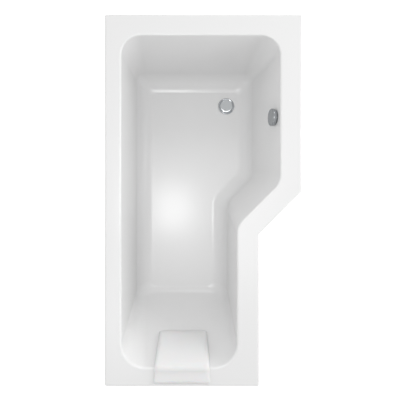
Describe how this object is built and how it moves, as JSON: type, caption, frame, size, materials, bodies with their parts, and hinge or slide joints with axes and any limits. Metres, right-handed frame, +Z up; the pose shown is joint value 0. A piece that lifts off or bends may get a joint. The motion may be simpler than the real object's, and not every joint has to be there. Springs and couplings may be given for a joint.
{
  "type": "p-shaped shower bath",
  "caption": "Built-in acrylic shower bath, wide at the shower end and narrowed by a diagonal step at the front, on adjustable feet, with pop-up waste, overflow knob and head rest.",
  "frame": {"origin": "middle of the rim's bounding box, on the floor under the feet", "axes": "+Z up, +Y along the bath towards the shower end, +X out of the open front that faces the room; the wall side is -X"},
  "size_m": [0.85, 1.6, 0.5905],
  "materials": {
    "white_acrylic": "gloss",
    "glass_fibre": "rough",
    "chipboard": "matt",
    "softwood": "sawn",
    "galvanised_steel": "satin",
    "zinc_plated_steel": "satin",
    "chrome": "gloss",
    "black_rubber": "matt",
    "black_plastic": "satin",
    "white_polypropylene": "satin",
    "grey_hose": "satin",
    "polyurethane_pad": "satin",
    "clear_vinyl": "gloss"
  },
  "bodies": {
    "root": {"bath_shell": "white_acrylic", "glassfibre_backing": "glass_fibre", "base_board": "chipboard", "rim_batten_wall": "softwood", "rim_batten_narrow_front": "softwood", "rim_batten_wide_front": "softwood", "wall_bracket_shower_end": "galvanised_steel", "wall_bracket_head_end": "galvanised_steel", "bracket_screws": "zinc_plated_steel", "leg_bar_shower_end": "galvanised_steel", "leg_bar_head_end": "galvanised_steel", "middle_foot_bracket": "galvanised_steel", "leg_bar_screws": "zinc_plated_steel", "leg_nuts": "zinc_plated_steel", "waste_flange": "chrome", "plug_guide": "white_polypropylene", "waste_top_seal": "black_rubber", "waste_bottom_seal": "black_rubber", "waste_body": "white_polypropylene", "lever_pin": "zinc_plated_steel", "trap_inlet_nut": "white_polypropylene", "trap_u_bend": "white_polypropylene", "trap_middle_nut": "white_polypropylene", "trap_outlet_elbow": "white_polypropylene", "trap_outlet_seal": "black_rubber", "trap_outlet_nut": "white_polypropylene", "overflow_ring": "chrome", "overflow_seal": "black_rubber", "overflow_body": "white_polypropylene", "overflow_hose": "grey_hose", "hose_nut_top": "white_polypropylene", "hose_nut_bottom": "white_polypropylene", "control_cable": "black_plastic"},
    "knob": {"overflow_knob": "chrome", "overflow_spindle": "black_plastic"},
    "plug": {"waste_plug": "chrome", "plug_seal": "black_rubber"},
    "lever": {"lift_lever": "black_plastic"},
    "head_rest": {"head_rest": "polyurethane_pad", "head_rest_suction_cups": "clear_vinyl"},
    "foot_1": {"foot_rod_1": "zinc_plated_steel", "foot_pad_1": "black_plastic"},
    "foot_2": {"foot_rod_2": "zinc_plated_steel", "foot_pad_2": "black_plastic"},
    "foot_3": {"foot_rod_3": "zinc_plated_steel", "foot_pad_3": "black_plastic"},
    "foot_4": {"foot_rod_4": "zinc_plated_steel", "foot_pad_4": "black_plastic"},
    "foot_5": {"foot_rod_5": "zinc_plated_steel", "foot_pad_5": "black_plastic"}
  },
  "joints": [
    {"name": "knob_turn", "type": "hinge", "parent": "root", "child": "knob", "pos_m": [0.3171, 0.366, 0.51], "axis": [-0.9703, 0, 0.2419], "range_deg": [0, 90]},
    {"name": "plug_lift", "type": "slide", "parent": "root", "child": "plug", "axis": [0, 0, 1], "range_m": [0, 0.01]},
    {"name": "lever_swing", "type": "hinge", "parent": "root", "child": "lever", "pos_m": [0.11, 0.482, 0.11518], "axis": [0, -1, 0], "range_deg": [0, 53.13]},
    {"name": "head_rest_lift", "type": "slide", "parent": "root", "child": "head_rest", "axis": [0, 0, 1], "range_m": [0, 0.15]},
    {"name": "foot_1_screw", "type": "slide", "parent": "root", "child": "foot_1", "axis": [0, 0, -1], "range_m": [0, 0.04]},
    {"name": "foot_2_screw", "type": "slide", "parent": "root", "child": "foot_2", "axis": [0, 0, -1], "range_m": [0, 0.04]},
    {"name": "foot_3_screw", "type": "slide", "parent": "root", "child": "foot_3", "axis": [0, 0, -1], "range_m": [0, 0.04]},
    {"name": "foot_4_screw", "type": "slide", "parent": "root", "child": "foot_4", "axis": [0, 0, -1], "range_m": [0, 0.04]},
    {"name": "foot_5_screw", "type": "slide", "parent": "root", "child": "foot_5", "axis": [0, 0, -1], "range_m": [0, 0.025]}
  ],
  "couplings": [
    {"joint": "plug_lift", "follows": "knob_turn", "m_per_rad": 0.006366},
    {"joint": "lever_swing", "follows": "knob_turn", "ratio": 0.59033}
  ]
}
